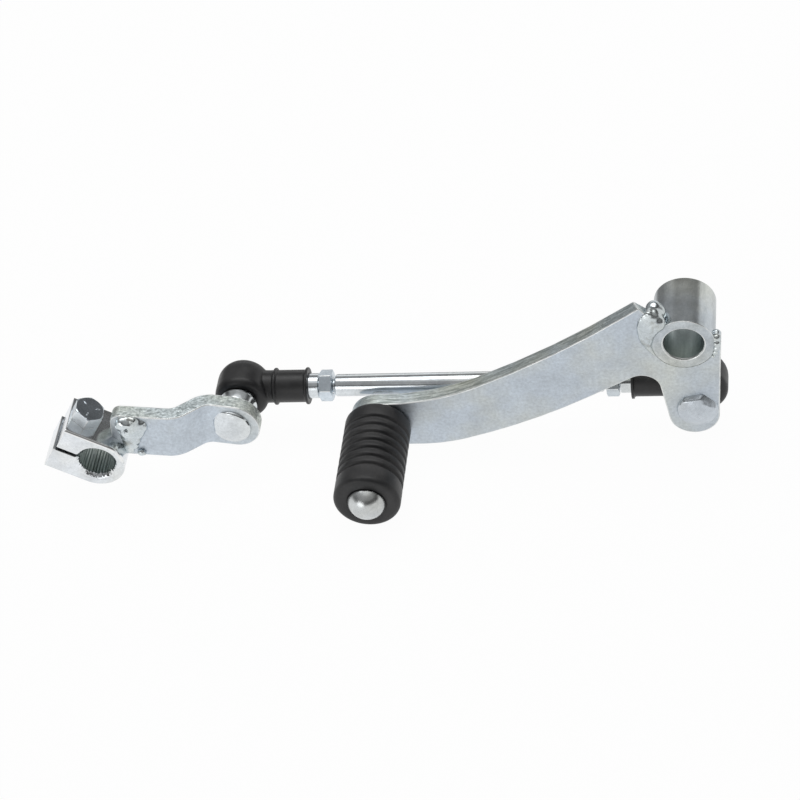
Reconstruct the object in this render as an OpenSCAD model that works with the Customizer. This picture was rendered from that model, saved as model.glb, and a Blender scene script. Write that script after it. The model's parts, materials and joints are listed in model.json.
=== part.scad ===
// Gear shift lever with its adjustable link rod and splined shift shaft crank.
// The pivot bore's axis is Y. X runs along the link rod, with the crank at the negative end, and Z is up.
// Y = 0 is the front face of the lever, and the linkage lies behind it.

/* [Pivot boss] */
// Outer diameter of the pivot tube
boss_d = 21.3; // [20:0.1:24]
// Bore of the pivot tube
boss_bore_d = 13.5; // [10:0.1:15]
// Length of the pivot tube
boss_len = 22; // [14:0.5:30]
// Chamfer at both ends of the bore
boss_chamfer = 0.5; // [0.2:0.1:1]

/* [Pedal arm] */
// Thickness of the arm plate
plate_t = 5.5; // [4:0.25:6]
// Peg axis, left of the pivot
peg_x = 109; // [100:1:125]
// Peg axis, below the pivot
peg_drop = 36; // [30:0.5:42]
// Radius of the arm's round end at the peg
arm_end_r = 10; // [8.5:0.5:12]
// Radius of the bend in the top edge beside the peg
top_bend_r = 83; // [70:1:100]
// Angle of the bend in the top edge
top_bend_a = 25; // [22:0.5:27]
// Radius of the long bow in the top edge
top_bow_r = 320; // [250:10:500]
// Angle of the long bow in the top edge
top_bow_a = 11.2; // [9:0.1:12]
// Straight end of the top edge beside the tube
top_run = 5.5; // [3:0.5:6.5]
// Straight stretch of the bottom edge beside the peg
low_run = 14; // [8:1:18]
// Radius of the bend in the bottom edge
low_bend_r = 58; // [45:1:70]
// Angle of the bend in the bottom edge
low_bend_a = 17; // [15:0.5:19]
// Radius of the long bow in the bottom edge
low_bow_r = 212; // [180:2:240]
// Angle of the long bow in the bottom edge
low_bow_a = 13; // [11:0.5:14]
// Radius of the arch between the arm and the ear
arch_r = 6.4; // [4.5:0.1:8]

/* [Ear] */
// Radius of the ear's round bottom
ear_r = 8.7; // [8:0.1:10]
// Centre of the ear's round bottom, right of the pivot
ear_x = 2.2; // [0:0.1:4]
// Centre of the ear's round bottom, below the pivot
ear_drop = 33.4; // [32:0.1:38]
// Lean of the ear's left side
ear_lean = 9; // [0:0.5:14]
// Width of the plate right of the pivot axis
ear_side = 12.6; // [12:0.1:14]

/* [Peg] */
// Diameter of the peg pin
pin_d = 10; // [8:0.5:12]
// Diameter of the spigot that is riveted through the arm
pin_spigot_d = 8; // [6:0.5:9]
// Length of the rubber sleeve
rubber_len = 38; // [30:0.5:50]
// Outer diameter of the rubber sleeve
rubber_d = 23.4; // [21:0.2:26]
// Number of grooves in the rubber
groove_n = 7; // [5:1:8]
// Distance between the grooves
groove_pitch = 3.8; // [3.4:0.1:4]
// Plain band between the arm and the first groove
rear_band = 6.8; // [5:0.1:8]
// Radius of a groove
groove_r = 1.25; // [0.8:0.05:1.5]
// Diameter of the pin's domed head
cap_d = 13.5; // [12.5:0.1:14.5]
// Height of the domed head
cap_h = 5; // [3:0.1:5.5]

/* [Ball joints] */
// Diameter of the balls
ball_d = 10; // [9:0.1:10.4]
// Rear ball joint, right of the pivot
rear_x = 4.3; // [3:0.1:5]
// Both ball joints, below the pivot
ball_drop = 29; // [28:0.1:32]
// Ball centre behind the front face of the arm
ball_y = 13.4; // [13.2:0.1:16]
// Distance between the two ball centres
link_len = 162.8; // [150:0.5:175]
// Diameter of the necks below the balls
neck_d = 6; // [5:0.1:6.4]
// Outer diameter of the steel socket
socket_d = 15; // [14.6:0.1:15.4]
// Diameter of the socket's shank
shank_d = 9; // [8:0.1:9.4]
// End of the shank, from the ball centre
shank_end = 27.6; // [26:0.1:30]
// Running clearance of the ball in its socket
ball_gap = 0.05; // [0.03:0.01:0.08]
// Wire diameter of the snap rings
ring_d = 1.2; // [1:0.05:1.3]

/* [Rubber boots] */
// Outer diameter of a boot round the ball
boot_d = 19.2; // [18.6:0.1:20]
// Rounding of the boot's back
boot_round = 7; // [5:0.1:8]
// Mouth of a boot, in front of the ball centre
boot_mouth = 7.4; // [6.6:0.1:7.4]
// Diameter of the boot's mouth
mouth_d = 11; // [10.6:0.1:11.4]
// Outer diameter of the boot's sleeve
sleeve_d = 11.7; // [11:0.1:12.4]
// End of the sleeve, from the ball centre
sleeve_end = 24; // [22:0.1:25]
// Outer diameter of the raised lips
lip_d = 13.3; // [12.6:0.1:14]
// Width of a lip
lip_w = 1; // [0.6:0.1:1.4]

/* [Link rod] */
// Diameter of the link rod
rod_d = 8; // [7:0.1:9]
// Gap between a lock nut and the rod's shoulder
rod_gap = 1; // [0.5:0.1:3]
// Thread diameter of the rod's ends
thread_d = 6; // [5:0.5:6]
// Depth of the threaded ends in the shanks
thread_in = 12; // [8:0.5:14]
// Width across the flats of nuts and bolt
hex_af = 10; // [9:0.5:11]
// Thickness of a lock nut
nut_t = 5; // [4:0.1:6]

/* [Shift crank] */
// Turn of the crank about the front ball
crank_turn = 6; // [0:1:12]
// Thickness of the crank's bar
bar_t = 5.5; // [4:0.25:6]
// Width of the crank's bar
bar_w = 18.8; // [16:0.2:20]
// Front face of the bar's flat end, in front of the ball centre
leaf_out = 20; // [18:0.1:21]
// Angle by which the flat end and its stud are turned
leaf_turn = 4.5; // [0:0.5:8]
// Straight stretch from the stud to the first bend
leaf_run = 6.5; // [5:0.5:9]
// Radius of the bends, at the middle of the bar
bend_r = 8; // [6:0.5:10]
// Slope of the bar between its bends
jog_a = 42; // [35:1:50]
// Offset of the bar's welded end from its flat end
jog_off = 7.6; // [7:0.1:9]
// Left end of the bar, from the front ball
bar_end = 43.2; // [42:0.1:44]

/* [Splined clamp] */
// Bore axis, left of the front ball
clamp_x = 48.5; // [48:0.1:50]
// Bore axis, below the front ball
clamp_drop = 9.4; // [9:0.1:10]
// Length of the clamp along its bore
clamp_len = 16.6; // [15:0.2:18]
// Front face of the clamp, in front of the ball centre
clamp_out = 33.4; // [32.5:0.1:34.5]
// Outer radius of the clamp round its bore
clamp_r = 10.2; // [9.8:0.1:10.6]
// Reach of the jaws from the bore axis
jaw_reach = 15.4; // [15:0.1:18]
// Length by which the lower jaw is longer
jaw_more = 0.8; // [0.2:0.1:1.5]
// Turn of the jaws above the line of the crank
jaw_turn = 26; // [20:1:32]
// Width of the slot
slot_w = 1.5; // [1.2:0.1:2]
// Diameter over the tips of the serrations
spline_d = 12.2; // [11.6:0.1:12.4]
// Depth of a serration
spline_h = 0.4; // [0.3:0.05:0.5]
// Number of serrations round the bore
spline_n = 36; // [24:2:40]
// Chamfer of the serrated bore's front mouth
spline_mouth = 1.5; // [0.8:0.1:1.8]
// Pinch bolt axis, from the bore axis
bolt_at = 9.7; // [9.6:0.1:10.8]
// Height of the bolt head
bolt_head_h = 5; // [3.5:0.1:5.5]
// Pinch bolt axis behind the clamp's front face
bolt_in = 9.6; // [7:0.1:11]

/* [Hidden] */
$fn = 64;
// Clearance between pieces that are pushed or screwed together
fit = 0.04;
// Overlap of cutting shapes past the faces that they cut
cut = 1;
// Smallest step of the outlines' arcs, in degrees
arc_step = 3;
zinc = [0.74, 0.78, 0.81];
bright = [0.84, 0.86, 0.87];
rubber = [0.10, 0.10, 0.11];

// Rear and front ball centres
rear_ball = [rear_x, ball_y, -ball_drop];
front_ball = [rear_x - link_len, ball_y, -ball_drop];
peg = [-peg_x, 0, -peg_drop];
hex_r = hex_af / 2 / cos(30);
clamp_at = [-clamp_x, -clamp_out, -clamp_drop];

// A path of straights [0, length] and arcs [radius, sweep], where a positive sweep turns left
function arc_centre(p, a, m) = p + m[0] * sign(m[1]) * [-sin(a), cos(a)];
function arc_point(c, a, m) = c - m[0] * sign(m[1]) * [-sin(a), cos(a)];
function move_end(p, a, m) =
    m[0] == 0 ? p + m[1] * [cos(a), sin(a)] : arc_point(arc_centre(p, a, m), a + m[1], m);
function move_points(p, a, m) =
    m[0] == 0 ? [p] :
    let (n = max(2, ceil(abs(m[1]) / arc_step)), c = arc_centre(p, a, m))
    [for (k = [0 : n - 1]) arc_point(c, a + m[1] * k / n, m)];
function walk(p, a, moves, i = 0) =
    i == len(moves) ? [p] :
    concat(
        move_points(p, a, moves[i]),
        walk(move_end(p, a, moves[i]), a + (moves[i][0] == 0 ? 0 : moves[i][1]), moves, i + 1)
    );
function walk_end(p, a, moves) = let (w = walk(p, a, moves)) w[len(w) - 1];
function reversed(list) = [for (i = [len(list) - 1 : -1 : 0]) list[i]];

// A cylinder along Y from y0 to y1
module rod_y(r, y0, y1) {
    translate([0, y0, 0])
        rotate([-90, 0, 0])
            cylinder(h = y1 - y0, r = r);
}

// A cone along Y from radius r0 at y0 to radius r1 at y1
module cone_y(r0, r1, y0, y1) {
    translate([0, y0, 0])
        rotate([-90, 0, 0])
            cylinder(h = y1 - y0, r1 = r0, r2 = r1);
}

// A flat plate of an XZ outline between y0 and y1
module plate_y(y0, y1) {
    translate([0, y1, 0])
        rotate([90, 0, 0])
            linear_extrude(height = y1 - y0)
                children();
}

// A body of revolution about Y of a profile in (radius, y)
module turned_y() {
    rotate([-90, 0, 0])
        rotate_extrude()
            children();
}

// Cylinders along the link, from distance a to distance b towards the other ball
module rod_x(r, a, b) {
    translate([a, 0, 0])
        rotate([0, 90, 0])
            cylinder(h = b - a, r = r);
}

// Moves a joint's pieces to the rear ball, pointing along the link
module at_rear() {
    translate(rear_ball)
        mirror([1, 0, 0])
            children();
}

// Moves a joint's pieces to the front ball, pointing along the link
module at_front() {
    translate(front_ball)
        children();
}

// A dome on a flat base, in front of y and bulging towards -Y
module dome(base_r, height, y) {
    round_r = (base_r * base_r + height * height) / (2 * height);
    translate([0, y, 0])
        intersection() {
            translate([0, round_r - height, 0])
                sphere(r = round_r);
            rod_y(base_r + cut, -height - cut, 0);
        }
}

// Outline of the arm, the arch and the ear, with the round peg end
boss_r = boss_d / 2;
low_start = [-peg_x, -peg_drop - arm_end_r];
low_moves = [[0, low_run], [low_bend_r, low_bend_a], [low_bow_r, low_bow_a]];
low_end = walk_end(low_start, 0, low_moves);
low_a = low_bend_a + low_bow_a;
// The ear's left side touches its round bottom, and the arch touches that side
ear_c = [ear_x, -ear_drop];
side_dir = [sin(ear_lean), -cos(ear_lean)];
side_foot = ear_c - ear_r * [cos(ear_lean), sin(ear_lean)];
arch_sweep = low_a + 90 - ear_lean;
arch_out = arch_r * [-sin(low_a), cos(low_a)];
arch_in = arch_r * [cos(ear_lean), sin(ear_lean)];
// Length of the run from the bow to the arch, so that the arch ends on the ear's side
arch_gap = side_foot - (low_end - arch_out + arch_in);
run_dir = [cos(low_a), sin(low_a)];
arch_run = (arch_gap[0] * side_dir[1] - arch_gap[1] * side_dir[0]) /
    (run_dir[0] * side_dir[1] - run_dir[1] * side_dir[0]);
arch_end = low_end + arch_run * run_dir - arch_out + arch_in;
top_start = [-peg_x, -peg_drop + arm_end_r];
peg_run = 1.5;
top_moves = [[0, peg_run], [top_bend_r, top_bend_a], [top_bow_r, top_bow_a], [0, top_run]];
// The plate's right side ends just above the pivot axis
side_top = 1;
right_top = [ear_side, side_top];

module arm_outline() {
    bottom = walk(low_start, 0, concat(low_moves, [[0, arch_run], [arch_r, -arch_sweep]]));
    ear = walk(side_foot, ear_lean - 90, [[ear_r, 180 - ear_lean]]);
    top = walk(top_start, 0, top_moves);
    polygon(concat(bottom, ear, [right_top, [0, 0]], reversed(top)));
    translate([-peg_x, -peg_drop])
        circle(r = arm_end_r);
}

module arm_plate() {
    difference() {
        plate_y(0, plate_t)
            arm_outline();
        rod_y(boss_r + fit, -cut, plate_t + cut);
        translate([rear_x, 0, -ball_drop])
            rod_y(rivet_r + fit, -cut, plate_t + cut);
        translate(peg)
            rod_y(pin_spigot_d / 2 + fit, -cut, plate_t + cut);
    }
}

module pedal_arm() {
    color(zinc)
        arm_plate();
}

module pivot_boss() {
    bore_r = boss_bore_d / 2;
    color(bright)
        difference() {
            rod_y(boss_r, 0, boss_len);
            rod_y(bore_r, -cut, boss_len + cut);
            cone_y(bore_r + boss_chamfer + cut, bore_r, -cut, boss_chamfer);
            cone_y(bore_r, bore_r + boss_chamfer + cut, boss_len - boss_chamfer, boss_len + cut);
        }
}

// Space that the arm and the boss take, for welds that lie against them
module boss_and_arm() {
    rod_y(boss_r, -boss_len, boss_len + cut);
    plate_y(0, plate_t)
        arm_outline();
}

// The arm's top end is cut along a line to the tube's axis
top_end = walk_end(top_start, 0, top_moves);
top_end_a = atan2(top_end[1], top_end[0]);

// Half of the space about that line
module beside_top_end(from, to) {
    rotate([0, -top_end_a, 0])
        translate([-boss_d, -boss_d, from])
            cube([2 * boss_d, 2 * boss_d, to - from]);
}

// The weld's lens in front of the arm: its middle from the tube's axis, its radius and its height
lens_off = 5.4;
lens_turn = -18.4;
lens_r = 13.4;
lens_h = 1.5;
// The weld's filling between the arm's top end and the tube
fill_r = 5.4;
fill_h = 2.4;
fill_turn = 6.4;
fill_off = boss_r + fill_r - 1.2;
function round_tube(off, a) = [off * cos(a), 0, off * sin(a)];

module boss_weld_left() {
    color(bright)
        difference() {
            union() {
                intersection() {
                    translate(round_tube(lens_off, top_end_a + lens_turn))
                        dome(lens_r, lens_h, 0, $fn = 320);
                    beside_top_end(0, boss_d);
                }
                translate(round_tube(fill_off, top_end_a + fill_turn))
                    dome(fill_r, fill_h, 0);
                intersection() {
                    translate(round_tube(fill_off, top_end_a + fill_turn))
                        rod_y(fill_r, 0, plate_t);
                    beside_top_end(-boss_d, 0);
                }
            }
            rod_y(boss_r, -boss_len, boss_len);
        }
}

// The drops of the short bead on the right: angle round the tube, radius and place in Y
right_drops = [[-29, 0.9, -0.1], [-19, 1.1, -0.15], [-9, 1.25, -0.1], [2, 1.45, 0.3], [9, 1.7, 1.9], [11, 1.4, 3.7]];
drop_off = boss_r + 0.6;

module boss_weld_right() {
    color(bright)
        difference() {
            for (drop = right_drops)
                translate(round_tube(drop_off, drop[0]) + [0, drop[2], 0])
                    sphere(r = drop[1]);
            boss_and_arm();
        }
}

module peg_pin() {
    spigot_r = pin_spigot_d / 2;
    // The spigot is spread over the arm's back
    spread = 1.2;
    spread_h = 1;
    color(bright)
        translate(peg) {
            rod_y(pin_d / 2, -rubber_len, 0);
            rod_y(spigot_r, 0, plate_t);
            translate([0, plate_t, 0])
                cone_y(spigot_r + spread, spigot_r, 0, spread_h);
            dome(cap_d / 2, cap_h, -rubber_len);
        }
}

module peg_rubber() {
    outer = rubber_d / 2;
    bore = pin_d / 2 + fit;
    edge = 2;
    nose = 1.9;
    groove_out = 0.2;
    // Half of the sleeve's section, with rounded ends
    section = concat(
        [[bore, 0]],
        [for (k = [0 : 5]) [outer - edge + edge * sin(18 * k), -edge + edge * cos(18 * k)]],
        [for (k = [0 : 5])
            [outer - nose + nose * cos(18 * k), nose - rubber_len - nose * sin(18 * k)]],
        [[bore, -rubber_len]]
    );
    color(rubber)
        translate(peg)
            difference() {
                turned_y()
                    polygon(section);
                for (i = [0 : groove_n - 1])
                    translate([0, -rear_band - i * groove_pitch, 0])
                        turned_y()
                            translate([outer + groove_out, 0])
                                circle(r = groove_r, $fn = 24);
            }
}

// A stud with its ball at the origin and its rivet through a plate from y_back to y_front
ball_r = ball_d / 2;
neck_r = neck_d / 2;
rivet_r = 3.5;
rear_head_r = 7.2;
rear_head_h = 3.3;
front_head_r = 7.4;
front_head_h = 2.6;
// The collar grows from its mouth radius to its foot radius
collar_mouth_r = neck_r + 1.4;
rear_collar_r = neck_r + 2;
rear_collar_h = 0.7;
front_collar_r = neck_r + 3;

module stud(y_back, y_front, collar_r, collar_to) {
    sphere(r = ball_r);
    rod_y(neck_r, y_back, 0);
    cone_y(collar_r, collar_mouth_r, y_back, collar_to);
    rod_y(rivet_r, y_front, y_back);
}

module rear_ball_stud() {
    color(bright)
        translate(rear_ball) {
            stud(plate_t - ball_y, -ball_y, rear_collar_r, plate_t - ball_y + rear_collar_h);
            dome(rear_head_r, rear_head_h, -ball_y);
        }
}

// The steel socket: a ball cup with its mouth in front and a shank that the rod screws into
socket_r = socket_d / 2;
socket_mouth = 4.6;
cup_r = ball_r + ball_gap;
wire_r = ring_d / 2;
ring_y = 3;
// The wire lies just clear of the ball
ring_clear = 0.08;
ring_r = sqrt(pow(ball_r + wire_r + ring_clear, 2) - ring_y * ring_y);
// Room behind the rod's end in the shank
thread_room = 1;

module socket() {
    difference() {
        union() {
            sphere(r = socket_r);
            rod_x(shank_d / 2, 0, shank_end);
        }
        translate([-socket_d, -socket_d - socket_mouth, -socket_d])
            cube([2 * socket_d, socket_d, 2 * socket_d]);
        sphere(r = cup_r);
        rod_y(cup_r, -socket_d, 0);
        translate([0, -ring_y, 0])
            turned_y()
                translate([0, -wire_r - fit])
                    square([ring_r + wire_r + fit, 2 * (wire_r + fit)]);
        rod_x(thread_d / 2 + fit, shank_end - thread_in - thread_room, shank_end + cut);
    }
}

module snap_ring() {
    gap_a = 24;
    translate([0, -ring_y, 0])
        rotate([-90, 0, 0])
            rotate([0, 0, 90 + gap_a / 2])
                rotate_extrude(angle = 360 - gap_a)
                    translate([ring_r, 0])
                        circle(r = wire_r, $fn = 24);
}

// The boot: a cap over the ball, blended into a sleeve with two raised lips
boot_r = boot_d / 2;
sleeve_r = sleeve_d / 2;
boot_back = 1.2 + boot_round;
mouth_round = 2.6;
// The concave blend between the cap and the sleeve: its radius, its middle and its angle
blend_r = 3.5;
blend_x = sqrt(pow(boot_r + blend_r, 2) - pow(sleeve_r + blend_r, 2)) - 0.6;
blend_a = 57;
inner_lip = boot_r + 1.9;

module boot() {
    cap = concat(
        [[0, boot_back]],
        [for (k = [0 : 9])
            [boot_r - boot_round + boot_round * sin(10 * k), boot_back - boot_round * (1 - cos(10 * k))]],
        [for (k = [0 : 6])
            [boot_r - mouth_round + mouth_round * cos(15 * k),
             mouth_round - boot_mouth - mouth_round * sin(15 * k)]],
        [[0, -boot_mouth]]
    );
    // The sleeve flares into the cap
    steps = 6;
    flare = concat(
        [[0, 0], [sleeve_r + blend_r * (1 - cos(blend_a)), 0]],
        [for (k = [0 : steps])
            let (a = blend_a * (1 - k / steps))
            [sleeve_r + blend_r * (1 - cos(a)), blend_x - blend_r * sin(a)]],
        [[sleeve_r, sleeve_end], [0, sleeve_end]]
    );
    difference() {
        union() {
            turned_y()
                polygon(cap);
            rotate([0, 90, 0])
                rotate_extrude()
                    polygon(flare);
            for (x = [inner_lip, sleeve_end - lip_w])
                rod_x(lip_d / 2, x, x + lip_w);
        }
        translate([-boot_d, -boot_d - boot_mouth, -boot_d])
            cube([2 * boot_d, boot_d, 2 * boot_d]);
        sphere(r = socket_r + fit);
        rod_x(shank_d / 2 + fit, 0, sleeve_end + cut);
        rod_y(mouth_d / 2, -boot_d, 0);
    }
}

module hex_nut(a) {
    difference() {
        intersection() {
            translate([a, 0, 0])
                rotate([0, 90, 0])
                    cylinder(h = nut_t, r = hex_r, $fn = 6);
            union() {
                translate([a, 0, 0])
                    rotate([0, 90, 0])
                        cylinder(h = nut_t / 2, r1 = hex_af / 2, r2 = hex_af / 2 + nut_t);
                translate([a + nut_t / 2, 0, 0])
                    rotate([0, 90, 0])
                        cylinder(h = nut_t / 2, r1 = hex_af / 2 + nut_t, r2 = hex_af / 2);
            }
        }
        rod_x(thread_d / 2 + fit, a - cut, a + nut_t + cut);
    }
}

module rear_socket() {
    color(bright)
        at_rear()
            socket();
}

module rear_snap_ring() {
    color(bright)
        at_rear()
            snap_ring();
}

module rear_boot() {
    color(rubber)
        at_rear()
            boot();
}

module rear_lock_nut() {
    color(zinc)
        at_rear()
            rotate([20, 0, 0])
                hex_nut(shank_end);
}

module link_rod() {
    end_at = shank_end + nut_t + rod_gap;
    edge = 0.5;
    color(bright)
        at_front() {
            rod_x(thread_d / 2, shank_end - thread_in, link_len - shank_end + thread_in);
            rod_x(rod_d / 2, end_at + edge, link_len - end_at - edge);
            translate([end_at, 0, 0])
                rotate([0, 90, 0])
                    cylinder(h = edge, r1 = rod_d / 2 - edge, r2 = rod_d / 2);
            translate([link_len - end_at - edge, 0, 0])
                rotate([0, 90, 0])
                    cylinder(h = edge, r1 = rod_d / 2, r2 = rod_d / 2 - edge);
        }
}

module front_lock_nut() {
    color(zinc)
        at_front()
            rotate([9, 0, 0])
                hex_nut(shank_end);
}

module front_socket() {
    color(bright)
        at_front()
            socket();
}

module front_snap_ring() {
    color(bright)
        at_front()
            snap_ring();
}

module front_boot() {
    color(rubber)
        at_front()
            boot();
}

// Everything on the crank turns with it about the front ball
module crank_place() {
    translate(front_ball)
        rotate([0, crank_turn, 0])
            children();
}

module front_ball_stud() {
    color(bright)
        crank_place()
            rotate([0, 0, -leaf_turn]) {
                stud(bar_t - leaf_out, -leaf_out, front_collar_r, -boot_mouth);
                dome(front_head_r, front_head_h, -leaf_out);
            }
}

// The bar seen from above: its flat end, the slope and the welded end
leaf_mid = leaf_out - bar_t / 2;
bar_start = leaf_mid * [-sin(leaf_turn), -cos(leaf_turn)];
leaf_heading = 180 - leaf_turn;
leaf_arc = [bend_r, jog_a + leaf_turn];
clamp_arc = [bend_r, -jog_a];
leaf_moves = [[0, leaf_run], leaf_arc];
// Length of the slope, so that the welded end has its offset
bend_drop = walk_end([0, 0], leaf_heading, leaf_moves)[1] -
    bend_r * (1 - cos(jog_a));
slope_len = (jog_off + bend_drop) / sin(jog_a);
bar_moves = concat(leaf_moves, [[0, slope_len], clamp_arc, [0, bar_end]]);
function offset_moves(moves, off) =
    [for (m = moves) m[0] == 0 ? m : [m[0] - off * sign(m[1]), m[1]]];
leaf_dir = [cos(leaf_heading), sin(leaf_heading)];
leaf_side = [-sin(leaf_heading), cos(leaf_heading)];
function bar_side(off) = walk(
    bar_start + off * leaf_side - bar_w * leaf_dir,
    leaf_heading,
    concat([[0, bar_w]], offset_moves(bar_moves, off))
);

// The bar seen from the front: round at the stud, with a rounded corner at the clamp
module bar_front() {
    corner = 3.5;
    half = bar_w / 2;
    // The round end's middle lies a little beyond the stud
    round_at = bar_start[0] + 0.6;
    translate([round_at, 0])
        circle(r = half);
    translate([-bar_end, -half])
        square([bar_end + round_at, bar_w - corner]);
    translate([corner - bar_end, 0])
        square([bar_end + round_at - corner, half]);
    translate([corner - bar_end, half - corner])
        circle(r = corner);
}

module bar_solid() {
    intersection() {
        translate([0, 0, -bar_w])
            linear_extrude(height = 2 * bar_w)
                polygon(concat(bar_side(bar_t / 2), reversed(bar_side(-bar_t / 2))));
        plate_y(-2 * clamp_out, 0)
            bar_front();
    }
}

module crank_arm() {
    color(zinc)
        crank_place()
            difference() {
                bar_solid();
                translate([-clamp_x, 0, -clamp_drop])
                    rod_y(clamp_r + fit, -2 * clamp_out, 0);
                rotate([0, 0, -leaf_turn])
                    rod_y(rivet_r + fit, -2 * leaf_out, 0);
            }
}

// The clamp's own frame: bore along Y from its front face, jaws towards -X
module clamp_place() {
    crank_place()
        translate(clamp_at)
            rotate([0, jaw_turn, 0])
                children();
}

spline_tip = spline_d / 2;
spline_root = spline_tip + spline_h;
bolt_hole_r = thread_d / 2 + fit;

// The serrations' grooves, with lands of the bore left between them
module spline_cut() {
    step = 360 / spline_n;
    inner = spline_tip - 0.3;
    half = step * 0.34;
    plate_y(-cut, clamp_len + cut)
        polygon([
            for (i = [0 : spline_n - 1], k = [-1, 0, 1])
                let (a = (i + 0.5) * step + k * half)
                (k == 0 ? spline_root : inner) * [cos(a), sin(a)]
        ]);
}

// The clamp's solid shape, with the longer jaw below
module clamp_body() {
    rod_y(clamp_r, 0, clamp_len);
    translate([-jaw_reach, 0, -clamp_r])
        cube([jaw_reach, clamp_len, 2 * clamp_r]);
    translate([-jaw_reach - jaw_more, 0, -clamp_r])
        cube([jaw_reach, clamp_len, clamp_r]);
}

module spline_clamp() {
    // The back end has a smaller chamfer
    back = 0.6;
    slot_len = jaw_reach + jaw_more + cut;
    color(zinc)
        clamp_place()
            difference() {
                clamp_body();
                rod_y(spline_tip, -cut, clamp_len + cut);
                spline_cut();
                cone_y(
                    spline_root + spline_mouth + cut,
                    spline_root - spline_mouth,
                    -cut,
                    2 * spline_mouth
                );
                cone_y(
                    spline_root - back,
                    spline_root + back + cut,
                    clamp_len - 2 * back,
                    clamp_len + cut
                );
                translate([-slot_len, -cut, -slot_w / 2])
                    cube([slot_len, clamp_len + 2 * cut, slot_w]);
                translate([-bolt_at, bolt_in, -clamp_r - cut])
                    cylinder(h = 2 * (clamp_r + cut), r = bolt_hole_r);
            }
}

module pinch_bolt() {
    // Length by which the bolt comes out of the lower jaw
    bolt_out = 1;
    head_turn = 34;
    top_r = hex_af / 2 - 0.1;
    base_r = top_r + bolt_head_h * 1.7;
    color(bright)
        clamp_place()
            translate([-bolt_at, bolt_in, 0]) {
                translate([0, 0, -clamp_r - bolt_out])
                    cylinder(h = 2 * clamp_r + bolt_out, r = thread_d / 2);
                translate([0, 0, clamp_r])
                    intersection() {
                        rotate([0, 0, head_turn])
                            cylinder(h = bolt_head_h, r = hex_r, $fn = 6);
                        cylinder(h = bolt_head_h, r1 = base_r, r2 = top_r);
                    }
            }
}

// Space that the bar and the clamp take, for welds that lie against them
module bar_and_clamp() {
    bar_solid();
    translate(clamp_at)
        rotate([0, jaw_turn, 0])
            clamp_body();
}

// Front face of the bar's welded end
bar_face = -leaf_mid * cos(leaf_turn) - jog_off - bar_t / 2;

// The lenses of the weld on the bar: their middles, radii and heights
clamp_side = clamp_r - clamp_x;
upper_lens = [clamp_side + 1.4, bar_w / 2 - 5.8];
lower_lens = [clamp_side + 0.3, 5.8 - bar_w / 2];
clamp_lenses = [[upper_lens, 7.4, 3.4], [lower_lens, 4.5, 2]];

module clamp_weld() {
    color(bright)
        crank_place()
            difference() {
                union() {
                    for (lens = clamp_lenses)
                        translate([lens[0][0], 0, lens[0][1]])
                            dome(lens[1], lens[2], bar_face);
                    // The upper lens runs over the bar's top edge
                    translate([upper_lens[0], 0, upper_lens[1]])
                        rod_y(clamp_lenses[0][1], bar_face, bar_face + bar_t / 2);
                }
                bar_and_clamp();
            }
}

module clamp_weld_tack() {
    tack_r = 1.7;
    tack_h = 1.3;
    // Its middle, from the clamp's side and from the bar's lower edge
    tack_side = 5.3;
    tack_edge = 1.8;
    color(bright)
        crank_place()
            translate([clamp_r + tack_side - clamp_x, 0, tack_edge - bar_w / 2])
                dome(tack_r, tack_h, bar_face);
}

pedal_arm();
pivot_boss();
boss_weld_left();
boss_weld_right();
peg_pin();
peg_rubber();
rear_ball_stud();
rear_socket();
rear_snap_ring();
rear_boot();
rear_lock_nut();
link_rod();
front_lock_nut();
front_socket();
front_snap_ring();
front_boot();
front_ball_stud();
crank_arm();
spline_clamp();
pinch_bolt();
clamp_weld();
clamp_weld_tack();
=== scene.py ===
"""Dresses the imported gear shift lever: zinc plate, welds, rubber peg and boots, and the studio round it."""
import json
import math

import bmesh
import bpy
from mathutils import Matrix, Vector, noise


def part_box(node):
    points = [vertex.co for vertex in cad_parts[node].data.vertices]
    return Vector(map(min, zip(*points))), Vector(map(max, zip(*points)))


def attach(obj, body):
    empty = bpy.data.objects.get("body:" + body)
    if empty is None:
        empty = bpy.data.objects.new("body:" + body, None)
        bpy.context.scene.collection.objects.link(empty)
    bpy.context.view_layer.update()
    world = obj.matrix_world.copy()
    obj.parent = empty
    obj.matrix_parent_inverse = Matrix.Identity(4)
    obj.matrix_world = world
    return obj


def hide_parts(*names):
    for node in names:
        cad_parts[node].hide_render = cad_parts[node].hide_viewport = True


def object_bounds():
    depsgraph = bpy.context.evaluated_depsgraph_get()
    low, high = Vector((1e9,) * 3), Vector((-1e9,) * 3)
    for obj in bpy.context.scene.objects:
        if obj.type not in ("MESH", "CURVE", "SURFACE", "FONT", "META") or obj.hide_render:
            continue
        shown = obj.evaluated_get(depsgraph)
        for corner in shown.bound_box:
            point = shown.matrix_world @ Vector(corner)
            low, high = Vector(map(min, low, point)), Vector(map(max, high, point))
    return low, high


bl_info = {
    "name": "Gear shift lever",
    "version": (1, 0, 0),
    "blender": (4, 5, 0),
    "location": "3D View > Sidebar > Shift Lever",
    "description": "Builds the visible pieces of a gear shift lever round its packed frame",
    "category": "Object",
}

MM = 0.001
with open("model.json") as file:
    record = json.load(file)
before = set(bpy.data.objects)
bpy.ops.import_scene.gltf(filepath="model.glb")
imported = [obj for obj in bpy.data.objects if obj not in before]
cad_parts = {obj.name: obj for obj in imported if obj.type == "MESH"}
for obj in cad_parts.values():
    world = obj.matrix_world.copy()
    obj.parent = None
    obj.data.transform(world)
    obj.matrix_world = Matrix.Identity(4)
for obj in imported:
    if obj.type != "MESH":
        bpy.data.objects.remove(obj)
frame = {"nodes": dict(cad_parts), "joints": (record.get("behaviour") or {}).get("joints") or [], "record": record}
CAD_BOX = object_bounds()


def middle(node):
    low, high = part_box(node)
    return (low + high) / 2


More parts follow.
